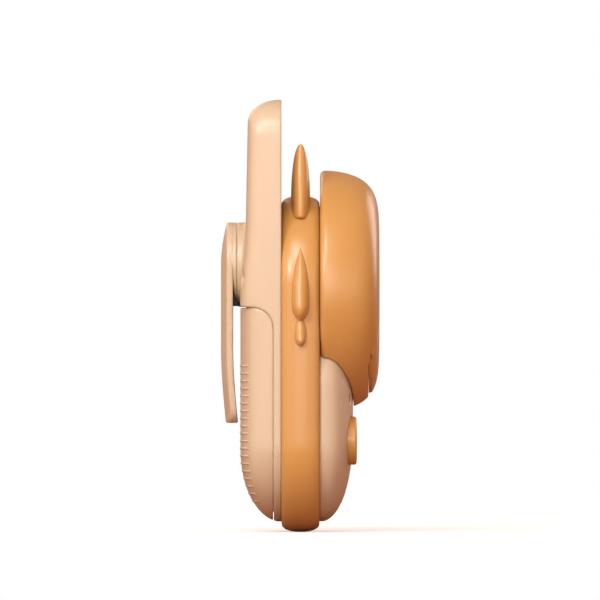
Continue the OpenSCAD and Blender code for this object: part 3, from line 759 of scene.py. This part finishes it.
def belly(x, y, z, d=0.0):
    """The round belly, closed in at its foot, at its top and at its sides."""
    low = closing((31 - z) / (28 + d), 2.2)
    high = closing((z - 41) / (17 + d), 2)
    half = outline(z, d) * closing((z - 44) / (22 + d), 2)
    form = bowed(x, -band_half - y, half, (belly_depth + d) * low * high, 3)
    return np.maximum(form, y + band_half)

def front_plate(x, y, z, d=0.0):
    """The flat plate behind the head, cut round to lie within the head's outline."""
    plate = np.maximum(np.abs(x) - outline(z, d), np.maximum(z - body_high - d, body_low - d - z))
    plate = np.maximum(plate, rod(x, z, 0, head_height, plate_radius + d))
    return np.maximum(np.maximum(plate, slab(y, -band_half - wall - d, -band_half + d)), plate_low - z)

def front_form(x, y, z):
    outer = blended(belly(x, y, z), front_plate(x, y, z), 0.5)
    shell = cut(outer, belly(x, y - 1, z, -wall), 0.3)
    for sx, sz in lower_posts:
        post = np.maximum(rod(x, z, sx, sz, 3.2), y + band_half)
        shell = np.minimum(shell, np.maximum(post, belly(x, y, z)))
    for bx in (-button_x, button_x):
        shell = cut(shell, rod(x, z, bx, button_z, button_radius + 0.2), 0.5)
    for slot_z in slot_heights:
        length = np.maximum(np.abs(x) - slot_half_length, 0)
        shell = cut(shell, np.hypot(length, z - slot_z) - slot_half_height, 0.2)
    shell = cut(shell, rod(x, z, *lens_spot, 1.2), 0.3)
    return cut(shell, rod(x, z, 0, 82, 3.5), 0.3)

front_shell = skinned("front_shell_moulding", front_form, (-32, -16, 3), (32, -5.5, 97.6), 0.5)
front_shell.data.materials.append(sand)
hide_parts("front_shell")
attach(front_shell, "housing")

# ---------------------------------------------------------------------------------------------
# The two push buttons: amber caps with a softened edge, hollow behind, with a flange that keeps
# them in and a stem that works the switch.
def turned(name, outline_points, centre, around=72):
    """A shape turned about a line along Y. Its outline is given as radius and y, in order from the
    middle of its front."""
    cx, cz = centre
    rings = [[(cx + max(r, 1e-4) * math.cos(a), y, cz + max(r, 1e-4) * math.sin(a)) for a in angles(around)]
             for r, y in outline_points]
    return lofted(name, rings)

button_front, button_edge = -16.8, 0.8
bend = [math.pi / 2 * i / 8 for i in range(9)]
face = [(0, -16.9), (3, -16.88), (5.4, -16.84)]
rim = [(button_radius - button_edge * (1 - math.sin(a)), button_front + button_edge * (1 - math.cos(a)))
       for a in bend]
# the flange and the inside of the wall, by their distance from the button's side
flange = [(0, -11.1), (0.1, -10.9), (1.2, -10.9), (1.3, -10.8), (1.3, -10.0), (1.2, -9.9), (-1.4, -9.9),
          (-1.4, -15.3)]
stem = [(1.6, -15.3), (1.6, -4.3), (1.5, -4.2), (0, -4.2)]
cap = face + rim + [(button_radius + out, y) for out, y in flange] + stem

for name, bx in (("talk_button", -button_x), ("call_button", button_x)):
    button = turned(name + "_cap", cap, (bx, button_z))
    button.data.set_sharp_from_angle(angle=math.radians(40))
    button.data.materials.append(amber)
    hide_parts(name)
    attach(button, name)

# ---------------------------------------------------------------------------------------------
# The head: a deep round amber shell, nearly flat in front, that carries the loudspeaker and is
# screwed to the front shell from inside. The muzzle plate drops into a step in its lower front.
head_radius, head_depth, head_back_y = 36.15, 17.8, -5.85
speaker_height, speaker_seat, speaker_mouth = 66.0, 14.2, 11.0
eye_x, eye_z, nose_z = 12.5, 82.5, 61.0
muzzle_low, muzzle_rise, muzzle_half_width, muzzle_scale = 52.0, 14.4, 24.0, 16.0
hole_radius, hole_pitch, hole_rows, hole_low, row_pitch = 0.8, 3.0, 4, 47.5, 2.8

def dome(x, y, z, d=0.0):
    """The head's outside: round from the front, and nearly flat with a rounded rim from the side."""
    r = np.maximum(np.hypot(x, z - head_height), 1e-3) / (head_radius + d)
    t = np.maximum(head_back_y - y - 0.3, 1e-3) / (head_depth + d - 0.3)
    a, b = r ** 8, t ** 2.1
    slope = np.hypot(8 * a / r / (head_radius + d), 2.1 * b / t / (head_depth + d - 0.3))
    return (a + b - 1) / np.maximum(slope, 0.02)

def muzzle_outline(x, z, d=0.0):
    """The muzzle plate's outline: an arch, open downwards."""
    arch = np.maximum(z - muzzle_low, 0) / (muzzle_rise + d)
    size = np.sqrt((np.abs(x) / (muzzle_half_width + d)) ** 2 + arch ** 2)
    return (size - 1) * muzzle_scale

def head_form(x, y, z):
    outer = shared(dome(x, y, z), y - head_back_y, 1.9)
    hollow = dome(x, y, z, -2.0)
    pad = np.maximum(np.minimum(muzzle_outline(x, z, 1.5), rod(x, z, 0, speaker_height, 16.2)), y + 19.4)
    shell = cut(outer, cut(hollow, pad, 0.4), 0.3)
    ring = np.maximum(np.maximum(rod(x, z, 0, speaker_height, 15.4), slab(y, -20, -15.6)), dome(x, y, z))
    shell = np.minimum(shell, ring)
    # the loudspeaker's seat and the opening in front of it
    shell = cut(shell, np.maximum(rod(x, z, 0, speaker_height, speaker_seat), slab(y, -19.4, -10)), 0.3)
    shell = cut(shell, np.maximum(rod(x, z, 0, speaker_height, speaker_mouth), slab(y, -20.9, -19)), 0.3)
    # the step for the muzzle plate, and the way for sound behind its holes
    shell = cut(shell, np.maximum(muzzle_outline(x, z, 0.16), y + 20.95), 0.3)
    window = np.maximum(np.maximum(np.abs(x) - 10, np.abs(z - 54) - 6.5), slab(y, -22, -19))
    shell = cut(shell, window, 0.3)
    # room for the front shell, a groove for the plate's tongue, and holes for the eyes
    shell = cut(shell, np.minimum(belly(x, y, z, 0.18), front_plate(x, y, z, 0.18)), 0.4)
    tongue = np.maximum(muzzle_outline(x, z, -1.5), y + 20.35)
    shell = cut(shell, tongue, 0.2)
    for ex in (-eye_x, eye_x):
        shell = cut(shell, np.maximum(rod(x, z, ex, eye_z, 3.5), y + 20), 0.5)
    return shell

head_shell = skinned("head_shell_moulding", head_form, (-36.2, -23.9, 35.9), (36.2, -5.8, 108.4), 0.54)

def muzzle_form(x, y, z):
    plate = shared(shared(dome(x, y, z), muzzle_outline(x, z), 0.5), y + 21.15, 0.35)
    tongue = np.maximum(muzzle_outline(x, z, -1.8), slab(y, -21.6, -20.5))
    plate = np.minimum(plate, np.maximum(tongue, dome(x, y, z, -0.4)))
    plate = cut(plate, np.maximum((np.hypot(x / 3.75, (z - nose_z) / 2.55) - 1) * 2.8, y + 22.3), 0.3)
    for row in range(hole_rows):
        offset = (row % 2) / 2
        near = np.round(np.clip(x / hole_pitch - offset, -3, 3 - 2 * offset)) + offset
        hole = np.hypot(x - near * hole_pitch, z - hole_low - row * row_pitch) - hole_radius
        plate = cut(plate, hole, 0.35)
    return plate

muzzle_plate = skinned("muzzle_plate_moulding", muzzle_form,
                       (-24.2, -23.9, 41.8), (24.2, -20.3, 66.6), 0.32)

for piece, replaced in ((head_shell, "head_shell"), (muzzle_plate, "muzzle_plate")):
    piece.data.materials.append(amber)
    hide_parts(replaced)
    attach(piece, "housing")

# ---------------------------------------------------------------------------------------------
# The eyes and the nose: glossy black plastic, pressed into the head and the muzzle plate.
gloss = Finish("black_gloss", IOR=1.52, Coat_Weight=0.5, Coat_Roughness=0.05)
smear = gloss.noise(140, 4)
gloss.feed(Base_Color=gloss.mixed(smear, (0.010, 0.007, 0.006), (0.022, 0.014, 0.012)),
           Roughness=0.08 + 0.14 * smear)
gloss.bumped(gloss.noise(700, 2), 0.00001, 0.2)

button_dome, button_power = 0.55, 0.88

def domed(name, cx, cz, half_x, half_z, front, back):
    """A rounded button, domed in front and flat behind."""
    sizes = []
    for i in range(17):
        a = math.pi / 2 * i / 16
        sizes.append((max(math.sin(a), 1e-3), front + button_dome * (1 - math.cos(a))))
    sizes += [(1.0, back + 0.1), (0.97, back)]
    return lofted(name, [[(cx + half_x * size * boxier(math.cos(a), button_power), y,
                           cz + half_z * size * boxier(math.sin(a), button_power)) for a in angles(56)]
                         for size, y in sizes])

for name, cx, cz, half_x, half_z, front, back in (("eye_left", -eye_x, eye_z, 3.38, 3.38, -23.65, -22.0),
                                                  ("eye_right", eye_x, eye_z, 3.38, 3.38, -23.65, -22.0),
                                                  ("nose", 0, nose_z, 3.6, 2.4, -23.7, -22.35)):
    feature = domed(name + "_pad", cx, cz, half_x, half_z, front, back)
    feature.data.materials.append(gloss.material)
    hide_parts(name)
    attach(feature, "housing")

# ---------------------------------------------------------------------------------------------
# What stays as the frame has it, with its own finish: the head's back plate, the grille cloth,
# the loudspeaker, the switches, the circuit board, the aerial's parts and the screws.
def dressed(finish, *names):
    """Gives the frame's own nodes a finish."""
    for name in names:
        for place in cad[name].material_slots:
            place.material = finish

dressed(amber, "head_back")
dressed(rubber_and_painted_shade.material, "speaker_gasket", "microphone_boot")

cloth = Finish("grille_cloth", Sheen_Weight=0.3)
warp, weft = (cloth.node("ShaderNodeTexWave", {"bands_direction": way},
                         {"Vector": cloth.place(), "Scale": 420.0}) for way in ("X", "Z"))
cloth.feed(Base_Color=cloth.mixed(warp * weft, (0.012, 0.012, 0.013), (0.05, 0.05, 0.052)), Roughness=0.85)
cloth.bumped(warp * weft, 0.00006, 0.6)
dressed(cloth.material, "grille_cloth")

def plated(name, colour, streak, rough):
    """Plated or tinned sheet metal, with fine drawing marks and a little tarnish."""
    made = Finish(name, Metallic=1.0)
    stretched = made.node("ShaderNodeMapping", None, {"Vector": made.place(), "Scale": (1, 1, 14)})
    marks = made.node("ShaderNodeTexNoise", None, {"Vector": stretched, "Scale": 900.0, "Detail": 3.0})
    tarnish = made.noise(240, 4).between(0.5, 0.8)
    made.feed(Base_Color=made.mixed(tarnish * 0.5, colour, streak),
              Roughness=rough + 0.16 * marks + 0.1 * tarnish)
    made.bumped(marks, 0.00001, 0.3)
    return made.material

zinc = plated("zinc_plate", (0.62, 0.62, 0.64), (0.45, 0.42, 0.36), 0.26)
tin = plated("tin_plate", (0.76, 0.76, 0.78), (0.58, 0.56, 0.50), 0.22)
copper = plated("copper_wire", (0.80, 0.38, 0.20), (0.52, 0.22, 0.10), 0.25)
dressed(zinc, "speaker_frame", "speaker_magnet")
dressed(zinc, "board_screws", "clip_screws", "housing_screws", "head_screws")
dressed(tin, "talk_switch", "call_switch", "microphone", "radio_shield", "battery_contacts")
dressed(copper, "aerial_coil", "aerial_lead")

def plain_moulding(name, colour, second, rough, grain=1500):
    """An even, slightly speckled material."""
    made = Finish(name)
    speck = made.noise(grain, 3)
    made.feed(Base_Color=made.mixed(speck, colour, second), Roughness=rough + 0.15 * (speck - 0.5))
    made.bumped(speck, 0.00003, 0.4)
    return made.material

cone_paper = plain_moulding("cone_paper", (0.05, 0.045, 0.04), (0.10, 0.09, 0.08), 0.8, 900)
dressed(cone_paper, "speaker_cone")
black_plastic = plain_moulding("black_plastic", (0.020, 0.020, 0.021), (0.035, 0.035, 0.037), 0.45)
dressed(black_plastic, "talk_switch_stem", "call_switch_stem", "board_chips", "battery_tray")
wire_sleeve = plain_moulding("wire_sleeve", (0.50, 0.02, 0.02), (0.62, 0.04, 0.03), 0.35)
dressed(wire_sleeve, "speaker_wires", "battery_leads")
led_resin = plain_moulding("led_resin", (0.85, 0.82, 0.70), (0.92, 0.90, 0.82), 0.2)
dressed(led_resin, "indicator_led")
ceramic = plain_moulding("former_ceramic", (0.74, 0.73, 0.70), (0.82, 0.81, 0.79), 0.6)
dressed(ceramic, "aerial_core")

lens = Finish("lens_plastic", IOR=1.49, Transmission_Weight=0.55)
haze = lens.noise(800, 3)
lens.feed(Base_Color=lens.mixed(haze, (0.16, 0.06, 0.035), (0.24, 0.10, 0.06)),
          Roughness=0.12 + 0.15 * haze)
dressed(lens.material, "indicator_lens")

board = Finish("solder_mask", Coat_Weight=0.6, Coat_Roughness=0.15)
laid_flat = board.node("ShaderNodeMapping", None, {
    "Vector": board.place(), "Rotation": (math.pi / 2, 0, 0)})
tracks = board.node("ShaderNodeTexBrick", {"offset": 0.5, "squash": 1.0}, {
    "Vector": laid_flat, "Scale": 180.0, "Mortar Size": 0.06, "Mortar": (0.04, 0.24, 0.10, 1),
    "Color1": (0.02, 0.12, 0.05, 1), "Color2": (0.025, 0.15, 0.06, 1)}, "Color")
board.feed(Base_Color=tracks, Roughness=0.3 + 0.1 * board.noise(500, 2))
dressed(board.material, "circuit_board")

# ---------------------------------------------------------------------------------------------
# The three cells: steel cans in a shrunk plastic jacket, dark with a copper band at the positive
# end, a crimped shoulder and a raised cap.
cell_radius, cell_y, cell_pitch, cell_low, cell_high = 5.25, 9.95, 11.2, 16.5, 61.0
shoulder_radius, band_start = 4.65, 30.0
jacket = Finish("cell_jacket", IOR=1.5, Coat_Weight=0.4, Coat_Roughness=0.12)
scuffs = jacket.noise(600, 5).between(0.62, 0.75)
jacket.feed(Base_Color=jacket.mixed(scuffs * 0.4, (0.018, 0.022, 0.028), (0.10, 0.11, 0.12)),
            Roughness=0.28 + 0.2 * scuffs)
jacket.bumped(jacket.noise(350, 2), 0.00002, 0.3)
band_paint = plated("cell_band", (0.72, 0.36, 0.16), (0.60, 0.28, 0.12), 0.28)

# radius and distance from the flat end, along the can to its cap
flat_end = [(0.02, 0.0), (3.6, 0.0), (3.7, 0.15), (4.6, 0.15), (5.05, 0.2)]
side_wall = [(cell_radius, rise) for rise in (0.55, 14.5, band_start, band_start + 0.1, 42.7)]
cap_end = [(5.0, 43.25), (4.6, 43.35), (4.4, 43.2), (2.2, 43.2), (1.95, 43.5), (1.9, 44.3), (1.7, 44.5),
           (0.02, 44.5)]
stations = flat_end + side_wall + cap_end

for name, cx, up in (("battery_left", -cell_pitch, True), ("battery_middle", 0.0, False),
                     ("battery_right", cell_pitch, True)):
    rings = []
    for r, rise in stations:
        z = cell_low + rise if up else cell_high - rise
        rings.append([(cx + r * math.cos(a), cell_y + r * math.sin(a), z) for a in angles(56)])
    cell = lofted(name + "_cell", rings)
    cell.data.set_sharp_from_angle(angle=math.radians(35))
    for finish in (jacket.material, band_paint, tin):
        cell.data.materials.append(finish)
    for face in cell.data.polygons:
        x, y, z = face.center * 1000
        along = z - cell_low if up else cell_high - z
        away = math.hypot(x - cx, y - cell_y)
        # bare metal inside the shoulders, a copper band at the cap, and the dark jacket elsewhere
        face.material_index = 2 if away < shoulder_radius else (1 if along > band_start + 0.05 else 0)
    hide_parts(name)
    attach(cell, "housing")

# ---------------------------------------------------------------------------------------------
# The contact springs: conical coils of plated wire that press on each cell's flat end.
lower_springs, upper_spring = 14.88, 62.62
coils = Net("contact_springs")
coils.size("Turns", "NodeSocketFloat", 3.5)
coils.size("Wide end", "NodeSocketFloat", 0.0036)
coils.size("Narrow end", "NodeSocketFloat", 0.0024)
coils.size("Height", "NodeSocketFloat", 0.0013)
coils.size("Wire radius", "NodeSocketFloat", 0.00026)
coils.size("Pitch", "NodeSocketFloat", cell_pitch * 0.001)
given = coils.open()
spiral = coils.add("GeometryNodeCurveSpiral", None, {
    "Resolution": 28, "Rotations": given["Turns"], "Start Radius": given["Wide end"],
    "End Radius": given["Narrow end"], "Height": given["Height"]})
spring = coils.wire(spiral, given["Wire radius"])
first = coils.vector(coils.calc("MULTIPLY", given["Pitch"], -1.0), cell_y * 0.001, lower_springs * 0.001)
apart = coils.vector(coils.calc("MULTIPLY", given["Pitch"], 2.0))
places = coils.add("GeometryNodeMeshLine", None, {"Count": 2, "Offset": apart, "Start Location": first})
outer_pair = coils.add("GeometryNodeInstanceOnPoints", None, {"Points": places, "Instance": spring})
middle_one = coils.add("GeometryNodeTransform", None, {
    "Geometry": spring, "Translation": (0, cell_y * 0.001, upper_spring * 0.001),
    "Rotation": (math.pi, 0, 0)})
joined = coils.tree.nodes.new("GeometryNodeJoinGeometry")
coils.tree.links.new(outer_pair, joined.inputs[0])
coils.tree.links.new(middle_one, joined.inputs[0])
springs = coils.grown(joined.outputs[0], zinc, "battery_springs_wire")
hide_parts("battery_springs")
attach(springs, "housing")
